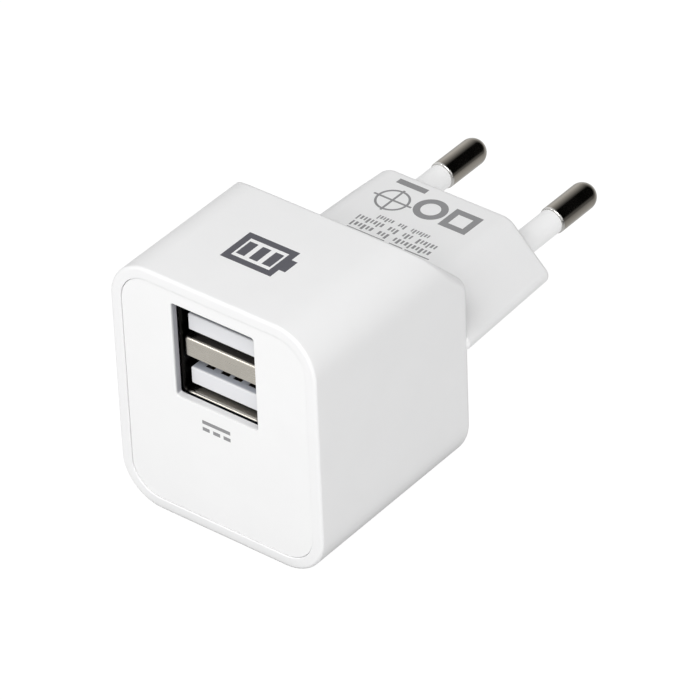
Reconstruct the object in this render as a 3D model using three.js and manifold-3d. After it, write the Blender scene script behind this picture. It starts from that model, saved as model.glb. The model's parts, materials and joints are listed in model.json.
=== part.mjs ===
// A two-port USB wall charger with a European two-pin plug, as an assembly of separate meshes.
// Millimetres, +Z up. The USB sockets face -Y and the mains pins point along +Y.
// Every function below works with Y = 0 on the front face; the group then centres the whole
// charger on Y, so the origin is the middle of the bottom of its bounding box.

import * as THREE from "three";
import { mergeVertices } from "three/addons/utils/BufferGeometryUtils.js";
import Module from "manifold-3d";

const wasm = await Module();
wasm.setup();

// ---- driving dimensions ----

const BODY_WIDTH = 33.5;
const BODY_HEIGHT = 38.5;
const BODY_DEPTH = 32.0;
const BODY_CORNER = 6.4; // radius of the four long edges
const BODY_EDGE = 0.6; // rounding of the front edge
const BODY_REAR_EDGE = 1.2; // rounding of the rear edges
const SLOPE_EDGE = 0.35; // rounding of the slope's upper edge
const SLANT = 9.5; // the slope that cuts the top rear edge, along Y and along Z
const WALL = 1.7;

const BLOCK_END = 50.1; // the face that meets the wall socket
const BLOCK_FLAT = 10.1; // half width of the hexagon's flat top
const BLOCK_TIP = 17.0; // half width at the hexagon's side tips, before rounding
const BLOCK_HALF_HEIGHT = 6.9;
const BLOCK_FLARE = 1.04; // the hexagon is this much larger where it meets the body
const BLOCK_END_EDGE = 0.8; // rounding of the edge round that face
const BLOCK_CORNER = 2.8; // rounding of the hexagon's four upper and lower corners
const BLOCK_TIP_CORNER = 1.2;
const BLOCK_END_WALL = 2.0;

const PIN_Z = 19.5;
const PIN_X = 9.25; // half the distance between the pins
const PIN_LENGTH = 19;
const PIN_RADIUS = 2;
const SLEEVE_RADIUS = 1.8;
const SLEEVE_LENGTH = 10;
const CORE_RADIUS = 1.2;
const PIN_HOLE_RADIUS = 1.95;
const PIN_ROOT = BLOCK_END - 4.6; // the pin's inner end, inside the plug block

const SEAM = 0.15; // gap between the front panel and the housing
const PANEL_RECESS = 0.2; // the panel's face lies this far behind the housing's front edge
const PANEL_THICKNESS = 1.1;
const SKIRT_DEPTH = 5;
const SKIRT_THICKNESS = 1.1;
const WINDOW_WIDTH = 13.5;
const WINDOW_HEIGHT = 14.65;
const WINDOW_Z = 27.4;

const PORT_WIDTH = 12.8;
const PORT_HEIGHT = 5.4;
const PORT_PITCH = 8.5;
const SHELL_SHEET = 0.3;
const SHELL_FRONT = 1.6;
const SHELL_REAR = 15.4;
const DIVIDER_WIDTH = 12.4;
const DIVIDER_HEIGHT = 2.95;
const TONGUE_WIDTH = 11.4;
const TONGUE_THICKNESS = 2.55;
const TONGUE_FRONT = 2.2;
const TONGUE_LIFT = 0.9; // height of the tongue's underside over the socket's floor
const CONTACT_X = [-3.5, -1, 1, 3.5];
const CONTACT_WIDTH = 1.0;
const GROOVE_WIDTH = 1.4;
const GROOVE_START = 1.1; // from the tongue's front
const CONTACT_SHEET = 0.25;

const BOARD_THICKNESS = 1.0;
const MAIN_BOARD_Z = 5.6;
const MAIN_BOARD_FRONT = 5.6;
const MAIN_BOARD_REAR = 29.2;
const MAIN_BOARD_WIDTH = 29.2;
const USB_BOARD_Y = 16.0;
const USB_BOARD_WIDTH = 26;
const USB_BOARD_TOP = 35.2;
const GAP = 0.3; // between touching pieces

const OVERALL_DEPTH = BLOCK_END + PIN_LENGTH;
const BOARD_TOP = MAIN_BOARD_Z + BOARD_THICKNESS;
const ROUND_STEPS = 24; // segments of a full turn on small round pieces

// ---- geometry helpers ----

// A closed geometry as a manifold solid.
function solid(geometry) {
  const bare = geometry.clone();
  bare.deleteAttribute("normal");
  bare.deleteAttribute("uv");
  const merged = mergeVertices(bare, 1e-4);
  return new wasm.Manifold(
    new wasm.Mesh({
      numProp: 3,
      vertProperties: merged.attributes.position.array,
      triVerts: new Uint32Array(merged.index.array),
    }),
  );
}

// A manifold solid as a geometry.
function geometryOf(body) {
  const mesh = body.getMesh();
  const points = new Float32Array(mesh.numVert * 3);
  for (let i = 0; i < mesh.numVert; i++) {
    points.set(mesh.vertProperties.subarray(i * mesh.numProp, i * mesh.numProp + 3), i * 3);
  }
  const geometry = new THREE.BufferGeometry();
  geometry.setAttribute("position", new THREE.BufferAttribute(points, 3));
  geometry.setIndex(new THREE.BufferAttribute(mesh.triVerts, 1));
  geometry.computeVertexNormals();
  return geometry;
}

function join(first, ...others) {
  return others.reduce((body, other) => body.add(other), first);
}

function cut(first, ...others) {
  return others.reduce((body, other) => body.subtract(other), first);
}

// A box given by its lowest and highest corner.
function box([x0, y0, z0], [x1, y1, z1]) {
  const geometry = new THREE.BoxGeometry(x1 - x0, y1 - y0, z1 - z0);
  geometry.translate((x0 + x1) / 2, (y0 + y1) / 2, (z0 + z1) / 2);
  return solid(geometry);
}

// A rounded rectangle centred on the shape's origin.
function roundedRectangle(width, height, radius) {
  const shape = new THREE.Shape();
  const x = width / 2 - radius;
  const y = height / 2 - radius;
  shape.absarc(x, y, radius, 0, Math.PI / 2);
  shape.absarc(-x, y, radius, Math.PI / 2, Math.PI);
  shape.absarc(-x, -y, radius, Math.PI, 1.5 * Math.PI);
  shape.absarc(x, -y, radius, 1.5 * Math.PI, 2 * Math.PI);
  shape.closePath();
  return shape;
}

// A polygon with each corner rounded: corners are [x, y, radius].
function roundedPolygon(corners) {
  const shape = new THREE.Shape();
  corners.forEach(([x, y, radius], i) => {
    const here = new THREE.Vector2(x, y);
    const [px, py] = corners.at(i - 1);
    const [nx, ny] = corners[(i + 1) % corners.length];
    const back = new THREE.Vector2(px, py).sub(here).normalize();
    const ahead = new THREE.Vector2(nx, ny).sub(here).normalize();
    const half = back.angleTo(ahead) / 2;
    const start = here.clone().addScaledVector(back, radius / Math.tan(half));
    const end = here.clone().addScaledVector(ahead, radius / Math.tan(half));
    const middle = back.clone().add(ahead).normalize();
    const centre = here.clone().addScaledVector(middle, radius / Math.sin(half));
    if (i === 0) {
      shape.moveTo(start.x, start.y);
    } else {
      shape.lineTo(start.x, start.y);
    }
    if (radius > 0) {
      const from = start.sub(centre).angle();
      const to = end.sub(centre).angle();
      const clockwise = back.cross(ahead) > 0;
      shape.absarc(centre.x, centre.y, radius, from, to, clockwise);
    }
  });
  shape.closePath();
  return shape;
}

// A shape drawn in X and Z, pushed from y0 to y1. bevel rounds both end edges.
function alongY(shape, y0, y1, bevel = 0, curveSegments = 6) {
  const geometry = new THREE.ExtrudeGeometry(shape, {
    depth: y1 - y0 - 2 * bevel,
    bevelEnabled: bevel > 0,
    bevelThickness: bevel,
    bevelSize: bevel,
    bevelOffset: -bevel,
    bevelSegments: 2,
    curveSegments,
  });
  geometry.rotateX(Math.PI / 2);
  geometry.translate(0, y1 - bevel, 0);
  return geometry;
}

// A shape drawn in Y and Z, pushed across X, centred.
function alongX(shape, width, curveSegments = 6) {
  const geometry = new THREE.ExtrudeGeometry(shape, {
    depth: width,
    bevelEnabled: false,
    curveSegments,
  });
  geometry.translate(0, 0, -width / 2);
  geometry.rotateY(Math.PI / 2);
  geometry.rotateX(Math.PI / 2);
  return geometry;
}

// A shape drawn in X and Y, pushed up from z0 to z1.
function alongZ(shape, z0, z1, curveSegments = 6) {
  const geometry = new THREE.ExtrudeGeometry(shape, {
    depth: z1 - z0,
    bevelEnabled: false,
    curveSegments,
  });
  geometry.translate(0, 0, z0);
  return geometry;
}

// A profile of [radius, height] points turned about the Y axis.
function turned(profile, steps = ROUND_STEPS) {
  return new THREE.LatheGeometry(
    profile.map(([radius, height]) => new THREE.Vector2(radius, height)),
    steps,
  );
}

// The same about the Z axis, standing up.
function standing(profile, steps = ROUND_STEPS) {
  return turned(profile, steps).rotateX(Math.PI / 2);
}

function rod(radius, y0, y1, x, z, steps = ROUND_STEPS) {
  return turned([[0, y0], [radius, y0], [radius, y1], [0, y1]], steps).translate(x, 0, z);
}

// ---- housing and front panel ----

function hexagon(inset) {
  const flat = BLOCK_FLAT - inset * 0.4;
  const tip = BLOCK_TIP - inset * 1.3;
  const half = BLOCK_HALF_HEIGHT - inset;
  return roundedPolygon([
    [tip, 0, BLOCK_TIP_CORNER],
    [flat, half, BLOCK_CORNER],
    [-flat, half, BLOCK_CORNER],
    [-tip, 0, BLOCK_TIP_CORNER],
    [-flat, -half, BLOCK_CORNER],
    [flat, -half, BLOCK_CORNER],
  ]);
}

// The plug block narrows towards the wall: each section is scaled about the pins' height.
function plugBlock(inset, y0, y1, bevel) {
  const geometry = alongY(hexagon(inset), y0, y1, bevel, 4);
  const points = geometry.getAttribute("position");
  for (let i = 0; i < points.count; i++) {
    const along = (BLOCK_END - points.getY(i)) / (BLOCK_END - BODY_DEPTH);
    const flare = 1 + (BLOCK_FLARE - 1) * along;
    points.setX(i, points.getX(i) * flare);
    points.setZ(i, points.getZ(i) * flare + PIN_Z);
  }
  return solid(geometry);
}

// The body's side view: an upright rectangle whose top rear corner is cut by the slope.
function sideProfile(inset) {
  const rear = BODY_DEPTH - inset;
  const top = BODY_HEIGHT - inset;
  const slopeStart = BODY_DEPTH - SLANT - inset * 0.4;
  const slopeEnd = BODY_HEIGHT - SLANT - inset * 0.4;
  return roundedPolygon([
    [-5, inset, 0],
    [rear, inset, BODY_REAR_EDGE],
    [rear, slopeEnd, 2],
    [slopeStart, top, SLOPE_EDGE],
    [-5, top, 0],
  ]);
}

// The rounded block, made where three prisms meet: one shapes the front edge, one the rear
// edge, and the side view cuts the slope.
function bodyBlock(inset, y0, frontEdge, rearEdge) {
  const outline = roundedRectangle(
    BODY_WIDTH - 2 * inset,
    BODY_HEIGHT - 2 * inset,
    BODY_CORNER - inset,
  );
  const rear = BODY_DEPTH - inset;
  const beyond = 4;
  const frontPrism = alongY(outline, y0, rear + beyond, frontEdge).translate(0, 0, BODY_HEIGHT / 2);
  const rearPrism = alongY(outline, y0 - beyond, rear, rearEdge).translate(0, 0, BODY_HEIGHT / 2);
  const side = alongX(sideProfile(inset), BODY_WIDTH + beyond);
  return solid(frontPrism).intersect(solid(rearPrism)).intersect(solid(side));
}

// Rails on the side walls that hold the main board's edges from below and above.
function boardRails() {
  const inner = BODY_WIDTH / 2 - WALL;
  const rails = [];
  for (const side of [-1, 1]) {
    const x = [side * (inner - 1.2), side * (inner + 0.4)].sort((a, b) => a - b);
    const below = [MAIN_BOARD_Z - GAP - 0.9, MAIN_BOARD_Z - GAP];
    const above = [BOARD_TOP + GAP, BOARD_TOP + GAP + 0.9];
    for (const [z0, z1] of [below, above]) {
      rails.push(box([x[0], 8, z0], [x[1], 28, z1]));
    }
  }
  return rails;
}

function housing() {
  const outside = join(
    bodyBlock(0, 0, BODY_EDGE, BODY_REAR_EDGE),
    plugBlock(0, BODY_DEPTH - BODY_REAR_EDGE / 2, BLOCK_END, BLOCK_END_EDGE),
  );
  const hollow = join(
    bodyBlock(WALL, -1, 0, 0),
    plugBlock(WALL, BODY_DEPTH - 3, BLOCK_END - BLOCK_END_WALL, 0),
  );
  const holes = [-1, 1].map((side) =>
    solid(rod(PIN_HOLE_RADIUS, BLOCK_END - 4, BLOCK_END + 1, side * PIN_X, PIN_Z)),
  );
  return join(cut(outside, hollow, ...holes), ...boardRails());
}

function panelOutline(inset) {
  const rim = WALL + SEAM + inset;
  return roundedRectangle(BODY_WIDTH - 2 * rim, BODY_HEIGHT - 2 * rim, BODY_CORNER - rim);
}

function frontPanel() {
  const centre = BODY_HEIGHT / 2;
  const back = PANEL_RECESS + PANEL_THICKNESS;
  const plate = alongY(panelOutline(0), PANEL_RECESS, SKIRT_DEPTH).translate(0, 0, centre);
  const inside = alongY(panelOutline(SKIRT_THICKNESS), back, SKIRT_DEPTH + 1);
  const window = alongY(roundedRectangle(WINDOW_WIDTH, WINDOW_HEIGHT, 0.5), -1, back + 1);
  return cut(
    solid(plate),
    solid(inside.translate(0, 0, centre)),
    solid(window.translate(0, 0, WINDOW_Z)),
  );
}

// ---- mains pins ----

function pin(side) {
  const root = PIN_ROOT;
  const metal = BLOCK_END + SLEEVE_LENGTH;
  const end = BLOCK_END + PIN_LENGTH;
  const profile = [[0, root], [2.2, root], [2.2, root + 1.8], [CORE_RADIUS, root + 1.8]];
  profile.push([CORE_RADIUS, metal], [PIN_RADIUS - 0.3, metal], [PIN_RADIUS, metal + 0.3]);
  const turns = 6;
  for (let i = 0; i <= turns; i++) {
    const angle = (i / turns) * (Math.PI / 2);
    const height = end - PIN_RADIUS + PIN_RADIUS * Math.sin(angle);
    profile.push([i === turns ? 0 : PIN_RADIUS * Math.cos(angle), height]);
  }
  return solid(turned(profile).translate(side * PIN_X, 0, PIN_Z));
}

function sleeve(side) {
  const y0 = BLOCK_END - 2.5;
  const y1 = BLOCK_END + SLEEVE_LENGTH - 0.05;
  const bore = CORE_RADIUS + 0.1;
  const profile = [[bore, y0], [SLEEVE_RADIUS, y0], [SLEEVE_RADIUS, y1], [bore, y1], [bore, y0]];
  return solid(turned(profile).translate(side * PIN_X, 0, PIN_Z));
}

// A sheet strip from the pin's root, forward along the plug block and down to the main board.
function mainsSpring(side) {
  const sheet = 0.4;
  const width = 2.3;
  const rear = PIN_ROOT - GAP;
  const level = PIN_Z - 2;
  const bend = MAIN_BOARD_REAR - 0.8;
  const foot = BOARD_TOP + GAP;
  const shape = new THREE.Shape();
  shape.moveTo(rear, PIN_Z + 1.8);
  shape.lineTo(rear - sheet, PIN_Z + 1.8);
  shape.lineTo(rear - sheet, level + sheet);
  shape.lineTo(bend - 1.2, level + sheet);
  shape.lineTo(bend - 1.2, foot);
  shape.lineTo(bend, foot);
  shape.lineTo(bend, foot + sheet);
  shape.lineTo(bend - 1.2 + sheet, foot + sheet);
  shape.lineTo(bend - 1.2 + sheet, level);
  shape.lineTo(rear, level);
  shape.closePath();
  return solid(alongX(shape, width).translate(side * PIN_X, 0, 0));
}

// ---- USB sockets ----

const portZ = (level) => WINDOW_Z + level * (PORT_PITCH / 2);

function usbShell() {
  const width = PORT_WIDTH + 2 * SHELL_SHEET;
  const height = PORT_PITCH + PORT_HEIGHT + 2 * SHELL_SHEET;
  const outer = roundedRectangle(width, height, 0.7);
  const inner = roundedRectangle(PORT_WIDTH, height - 2 * SHELL_SHEET, 0.4);
  const tube = cut(
    solid(alongY(outer, SHELL_FRONT, SHELL_REAR, 0, 3)),
    solid(alongY(inner, SHELL_FRONT - 1, SHELL_REAR + 1, 0, 3)),
  );
  const tabs = [];
  for (const side of [-1, 1]) {
    for (const z of [-5, 5]) {
      const x = [side * (PORT_WIDTH / 2), side * (width / 2)].sort((a, b) => a - b);
      tabs.push(box([x[0], SHELL_REAR - 1, z - 0.8], [x[1], USB_BOARD_Y + 1.6, z + 0.8]));
    }
  }
  return join(tube, ...tabs).translate([0, 0, WINDOW_Z]);
}

// The folded box between the sockets: a front band with a channel behind it.
function usbDivider() {
  const half = DIVIDER_HEIGHT / 2;
  const x = DIVIDER_WIDTH / 2;
  const front = SHELL_FRONT + 0.05;
  const outer = box([-x, front, -half], [x, SHELL_REAR - 2.5, half]);
  const inner = box([-x - 1, front + SHELL_SHEET, SHELL_SHEET - half], [
    x + 1,
    SHELL_REAR,
    half - SHELL_SHEET,
  ]);
  return cut(outer, inner).translate([0, 0, WINDOW_Z]);
}

// Height of the contact side of a socket's tongue.
const tongueTop = (level) => portZ(level) - PORT_HEIGHT / 2 + TONGUE_LIFT + TONGUE_THICKNESS;

function tongue(level) {
  const top = tongueTop(level);
  const half = TONGUE_WIDTH / 2;
  const rear = SHELL_REAR - 2.3;
  const nose = 0.5;
  const side = new THREE.Shape();
  side.moveTo(TONGUE_FRONT, top - nose);
  side.lineTo(TONGUE_FRONT + nose, top);
  side.lineTo(rear, top);
  side.lineTo(rear, top - TONGUE_THICKNESS);
  side.lineTo(TONGUE_FRONT + nose / 2, top - TONGUE_THICKNESS);
  side.lineTo(TONGUE_FRONT, top - TONGUE_THICKNESS + nose / 2);
  side.closePath();
  const grooves = CONTACT_X.map((x) => {
    const w = GROOVE_WIDTH / 2;
    return box([x - w, TONGUE_FRONT + GROOVE_START, top - 0.5], [x + w, rear + 1, top + 1]);
  });
  return cut(solid(alongX(side, 2 * half)), ...grooves);
}

// The moulded block behind the sockets; the contacts pass through it in slots.
function usbInsulator() {
  const x = PORT_WIDTH / 2 - 0.15;
  const z = (PORT_PITCH + PORT_HEIGHT) / 2 - 0.15;
  const block = box([-x, SHELL_REAR - 2.2, WINDOW_Z - z], [x, SHELL_REAR, WINDOW_Z + z]);
  const slots = [];
  for (const level of [-1, 1]) {
    const top = tongueTop(level);
    for (const cx of CONTACT_X) {
      const w = CONTACT_WIDTH / 2 + 0.15;
      slots.push(box([cx - w, SHELL_REAR - 4, top - 0.6], [cx + w, SHELL_REAR + 1, top + 0.4]));
    }
  }
  return cut(block, ...slots);
}

// A contact strip: it lies in its groove, with a sprung hump near the front, and ends in the board.
function contact(level, x) {
  const low = tongueTop(level) - 0.4;
  const front = TONGUE_FRONT + GROOVE_START + 0.3;
  const rear = USB_BOARD_Y + 1.5;
  const hump = 0.55;
  const line = [
    [front, 0],
    [front + 1.4, hump],
    [front + 2.4, hump],
    [front + 4.2, 0],
    [rear, 0],
  ];
  const shape = new THREE.Shape();
  shape.moveTo(line[0][0], low);
  line.slice(1).forEach(([y, z]) => shape.lineTo(y, low + z));
  line.toReversed().forEach(([y, z]) => shape.lineTo(y, low + z + CONTACT_SHEET));
  shape.closePath();
  return solid(alongX(shape, CONTACT_WIDTH).translate(x, 0, 0));
}

// ---- boards ----

function mainBoard() {
  const half = MAIN_BOARD_WIDTH / 2;
  const board = box([-half, MAIN_BOARD_FRONT, MAIN_BOARD_Z], [half, MAIN_BOARD_REAR, BOARD_TOP]);
  const notches = [-1, 1].map((side) =>
    box([side * half - 1, MAIN_BOARD_FRONT - 1, 0], [side * half + 1, MAIN_BOARD_FRONT + 1.5, 20]),
  );
  return cut(board, ...notches);
}

function usbBoard() {
  const half = USB_BOARD_WIDTH / 2;
  const y0 = USB_BOARD_Y;
  const y1 = y0 + BOARD_THICKNESS;
  const corner = 2;
  const outline = roundedPolygon([
    [half, USB_BOARD_TOP, corner],
    [-half, USB_BOARD_TOP, corner],
    [-half, BOARD_TOP + GAP, 0],
    [half, BOARD_TOP + GAP, 0],
  ]);
  const holes = [];
  for (const level of [-1, 1]) {
    const z = tongueTop(level) - 0.4 + CONTACT_SHEET / 2;
    for (const x of CONTACT_X) {
      holes.push(box([x - 0.7, y0 - 1, z - 0.4], [x + 0.7, y1 + 1, z + 0.4]));
    }
  }
  for (const side of [-1, 1]) {
    const x = side * (PORT_WIDTH / 2 + SHELL_SHEET / 2);
    for (const z of [-5, 5]) {
      const at = WINDOW_Z + z;
      holes.push(box([x - 0.4, y0 - 1, at - 1.1], [x + 0.4, y1 + 1, at + 1.1]));
    }
  }
  return cut(solid(alongY(outline, y0, y1)), ...holes);
}

// ---- transformer ----

const TRAFO = { x: -3.1, y: 23.2, width: 15, height: 14, stack: 4.6, back: 2.4, leg: 2.5, post: 4 };
const TRAFO_Z = BOARD_TOP + 1.6 + TRAFO.height / 2;

// One E-shaped half of the ferrite core; side is +1 for the top half.
function coreHalf(side) {
  const { width, height, stack, back, leg, post } = TRAFO;
  const half = width / 2;
  const meet = 0.05;
  const part = (x0, x1, z0, z1) => {
    const z = [side * z0, side * z1].sort((a, b) => a - b);
    return box([x0, -stack / 2, z[0]], [x1, stack / 2, z[1]]);
  };
  return join(
    part(-half, half, height / 2 - back, height / 2),
    part(-half, leg - half, meet, height / 2 - back + 0.5),
    part(half - leg, half, meet, height / 2 - back + 0.5),
    part(-post / 2, post / 2, meet, height / 2 - back + 0.5),
  ).translate([TRAFO.x, TRAFO.y, TRAFO_Z]);
}

// The coil former: a square tube on the core's middle post, two flanges and a foot.
function bobbin() {
  const { width, height, stack, back, leg, post } = TRAFO;
  const inner = height / 2 - back - 0.15;
  const reach = width / 2 - leg - 0.15;
  const tubeX = post / 2 + 0.7;
  const tubeY = stack / 2 + 0.7;
  const deep = 5;
  const tube = box([-tubeX, -tubeY, -inner], [tubeX, tubeY, inner]);
  const top = box([-reach, -deep, inner - 0.7], [reach, deep, inner]);
  const bottom = box([-reach, -deep, -inner], [reach, deep, 0.7 - inner]);
  const foot = box([-reach, stack / 2 + 0.15, -height / 2 - 1.3], [reach, deep, 0.4 - inner]);
  const bore = box([-post / 2 - 0.1, -stack / 2 - 0.1, -9], [post / 2 + 0.1, stack / 2 + 0.1, 9]);
  return cut(join(tube, top, bottom, foot), bore).translate([TRAFO.x, TRAFO.y, TRAFO_Z]);
}

// The taped winding between the flanges.
function winding() {
  const { width, height, stack, back, leg, post } = TRAFO;
  const half = height / 2 - back - 0.15 - 0.7 - 0.1;
  const reach = width / 2 - leg - 0.3;
  const tubeX = post / 2 + 0.8;
  const tubeY = stack / 2 + 0.8;
  const outline = alongZ(roundedRectangle(2 * reach, 9.6, 1.2), -half, half, 3);
  const hole = box([-tubeX, -tubeY, -9], [tubeX, tubeY, 9]);
  return cut(solid(outline), hole).translate([TRAFO.x, TRAFO.y, TRAFO_Z]);
}

// ---- small parts on the boards ----

// An upright electrolytic can with a rolled groove near its foot.
function canCapacitor(radius, height, x, y) {
  const z0 = BOARD_TOP + GAP;
  const profile = [
    [0, z0],
    [radius - 0.3, z0],
    [radius, z0 + 0.3],
    [radius, z0 + 1.1],
    [radius - 0.35, z0 + 1.5],
    [radius, z0 + 1.9],
    [radius, z0 + height - 0.4],
    [radius - 0.4, z0 + height],
    [0, z0 + height],
  ];
  return solid(standing(profile).translate(x, y, 0));
}

// A moulded chip with bent legs on both long sides; the legs run along Y from a body on X.
function chip(width, depth, height, legs) {
  const body = box([-width / 2, -depth / 2, 0.25], [width / 2, depth / 2, height]);
  const feet = [];
  for (let i = 0; i < legs; i++) {
    const x = (i - (legs - 1) / 2) * (width / legs);
    for (const side of [-1, 1]) {
      const out = side * (depth / 2);
      const y = [out - 0.1 * side, out + 0.9 * side].sort((a, b) => a - b);
      const toe = [out + 0.5 * side, out + 0.9 * side].sort((a, b) => a - b);
      feet.push(box([x - 0.2, y[0], 0.5], [x + 0.2, y[1], 0.8]));
      feet.push(box([x - 0.2, toe[0], 0], [x + 0.2, toe[1], 0.6]));
    }
  }
  return join(body, ...feet);
}

// A part on the underside of the main board.
function underMainBoard(body, x, y) {
  return body.rotate([180, 0, 0]).translate([x, y, MAIN_BOARD_Z - GAP]);
}

// A part on the rear face of the upright board.
function onUsbBoard(body, x, z) {
  return body.rotate([-90, 0, 0]).translate([x, USB_BOARD_Y + BOARD_THICKNESS + GAP, z]);
}

// A disc capacitor standing on edge on two leads.
function yCapacitor(x, y) {
  const z0 = BOARD_TOP + GAP;
  const radius = 3.2;
  const disc = turned([[0, -1.3], [radius - 0.6, -1.3], [radius, -0.6], [radius, 0.6]].concat([
    [radius - 0.6, 1.3],
    [0, 1.3],
  ]));
  const leads = [-1, 1].map((side) =>
    box([side * 1.8 - 0.3, -0.3, -radius - 1.5], [side * 1.8 + 0.3, 0.3, 0]),
  );
  return join(solid(disc), ...leads).translate([x, y, z0 + radius + 1.5]);
}

// A fusible resistor lying along Y on bent leads.
function fuseResistor(x, y) {
  const r = 1.5;
  const half = 3.6;
  const profile = [[0, -half], [r, 0.6 - half], [r, 1.8 - half], [r - 0.3, 2.2 - half]];
  profile.push([r - 0.3, half - 2.2], [r, half - 1.8], [r, half - 0.6], [0, half]);
  const z0 = BOARD_TOP + GAP;
  const centre = z0 + r + 0.2;
  const leads = [-1, 1].map((side) => {
    const tip = [side * (half - 0.5), side * (half + 0.9)].sort((a, b) => a - b);
    const bend = [side * (half + 0.4), side * (half + 0.9)].sort((a, b) => a - b);
    return join(
      box([-0.25, tip[0], -0.25], [0.25, tip[1], 0.25]),
      box([-0.25, bend[0], z0 - centre], [0.25, bend[1], 0.2]),
    );
  });
  return join(solid(turned(profile)), ...leads).translate([x, y, centre]);
}

// A drum choke: two flanges and a wound waist.
function choke(x, y) {
  const z0 = BOARD_TOP + GAP;
  const profile = [[0, 0], [2.6, 0], [2.6, 0.9], [2.2, 0.9], [2.2, 5.1], [2.6, 5.1], [2.6, 6], [0, 6]];
  return solid(standing(profile).translate(x, y, z0));
}

// ---- assembly ----

const FINISHES = {
  whitePlastic: { color: 0xf1f1f1, roughness: 0.4, metalness: 0 },
  nickel: { color: 0xbab5aa, roughness: 0.25, metalness: 1 },
  sleevePlastic: { color: 0xf4f4f4, roughness: 0.5, metalness: 0 },
  tonguePlastic: { color: 0xe9e9e6, roughness: 0.5, metalness: 0 },
  gold: { color: 0xc9a85a, roughness: 0.3, metalness: 1 },
  board: { color: 0x2f6b45, roughness: 0.6, metalness: 0 },
  ferrite: { color: 0x3a3a3c, roughness: 0.7, metalness: 0.1 },
  tape: { color: 0xd9b44a, roughness: 0.5, metalness: 0 },
  blackPlastic: { color: 0x202022, roughness: 0.5, metalness: 0 },
  capSleeve: { color: 0x26303f, roughness: 0.4, metalness: 0 },
  ceramicBlue: { color: 0x3b6ea8, roughness: 0.5, metalness: 0 },
  resistor: { color: 0x6f8f7c, roughness: 0.6, metalness: 0 },
  copper: { color: 0xb36a3c, roughness: 0.4, metalness: 1 },
};

const charger = new THREE.Group();

function add(name, body, finish) {
  const mesh = new THREE.Mesh(geometryOf(body), new THREE.MeshStandardMaterial(FINISHES[finish]));
  mesh.name = name;
  charger.add(mesh);
}

add("housing", housing(), "whitePlastic");
add("front_panel", frontPanel(), "whitePlastic");

for (const [side, line] of [[-1, "neutral"], [1, "live"]]) {
  add("pin_" + line, pin(side), "nickel");
  add("sleeve_" + line, sleeve(side), "sleevePlastic");
  add("spring_" + line, mainsSpring(side), "copper");
}

add("usb_shell", usbShell(), "nickel");
add("usb_divider", usbDivider(), "nickel");
add("usb_insulator", usbInsulator(), "blackPlastic");
for (const [level, row] of [[1, "upper"], [-1, "lower"]]) {
  add("tongue_" + row, tongue(level), "tonguePlastic");
  CONTACT_X.forEach((x, i) => {
    add("usb_contact_" + row + "_" + (i + 1), contact(level, x), "gold");
  });
}

add("main_board", mainBoard(), "board");
add("usb_board", usbBoard(), "board");

add("transformer_core_top", coreHalf(1), "ferrite");
add("transformer_core_bottom", coreHalf(-1), "ferrite");
add("transformer_bobbin", bobbin(), "blackPlastic");
add("transformer_winding", winding(), "tape");

add("input_capacitor_left", canCapacitor(4, 11, -9.2, 11), "capSleeve");
add("input_capacitor_right", canCapacitor(4, 11, -1, 11), "capSleeve");
add("output_capacitor", canCapacitor(3.15, 10, 7.6, 11), "capSleeve");
add("choke", choke(10.6, 20.6), "copper");
add("y_capacitor", yCapacitor(10.6, 25.3), "ceramicBlue");
add("fuse_resistor", fuseResistor(6.3, 22.4), "resistor");
add("bridge_rectifier", underMainBoard(chip(4.6, 3.8, 2.2, 2), 8, 22), "blackPlastic");
add("controller_chip", underMainBoard(chip(4.8, 3.8, 1.5, 4), -3, 20), "blackPlastic");
add("output_rectifier", onUsbBoard(chip(4.2, 2.6, 2.1, 1), -6, 30), "blackPlastic");
add("port_chip", onUsbBoard(chip(4.8, 3.8, 1.5, 4), 6, 28), "blackPlastic");

charger.position.y = -OVERALL_DEPTH / 2;

export default charger;
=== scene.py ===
"""Looks for a two-port USB wall charger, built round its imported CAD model.

Shapes are drawn in millimetres in the charger's own frame: X to the right of someone looking at
the USB face, Y = 0 on the front face and growing towards the mains pins, Z up from the surface
that it stands on. finished() turns a shape into metres and puts it where the CAD says.
"""

import json
import math

import bpy
from mathutils import Matrix, Vector


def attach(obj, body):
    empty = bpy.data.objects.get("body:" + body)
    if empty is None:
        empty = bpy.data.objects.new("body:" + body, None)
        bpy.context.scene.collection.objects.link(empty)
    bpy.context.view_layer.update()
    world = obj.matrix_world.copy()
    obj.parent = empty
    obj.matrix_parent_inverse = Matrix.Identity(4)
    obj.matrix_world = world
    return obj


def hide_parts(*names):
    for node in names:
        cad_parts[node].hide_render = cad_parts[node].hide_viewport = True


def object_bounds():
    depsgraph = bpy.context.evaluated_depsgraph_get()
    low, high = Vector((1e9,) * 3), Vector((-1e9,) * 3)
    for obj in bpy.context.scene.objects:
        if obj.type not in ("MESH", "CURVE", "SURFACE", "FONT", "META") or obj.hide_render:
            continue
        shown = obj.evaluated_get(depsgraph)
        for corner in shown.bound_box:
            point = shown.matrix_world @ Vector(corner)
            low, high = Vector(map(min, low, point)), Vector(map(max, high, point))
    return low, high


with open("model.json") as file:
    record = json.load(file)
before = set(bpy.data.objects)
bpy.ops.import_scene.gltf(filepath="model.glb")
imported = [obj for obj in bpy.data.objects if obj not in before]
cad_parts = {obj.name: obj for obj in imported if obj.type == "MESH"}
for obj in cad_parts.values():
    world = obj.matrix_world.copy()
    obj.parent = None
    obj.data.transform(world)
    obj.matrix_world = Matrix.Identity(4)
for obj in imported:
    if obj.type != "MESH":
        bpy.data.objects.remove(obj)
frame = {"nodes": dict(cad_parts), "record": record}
CAD_BOX = [list(corner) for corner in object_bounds()]

MM = 0.001
MICRON = 0.000001
FRONT = CAD_BOX[0][1]  # the row's Y of the front face, in metres

# ---- sizes, in millimetres ----

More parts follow.
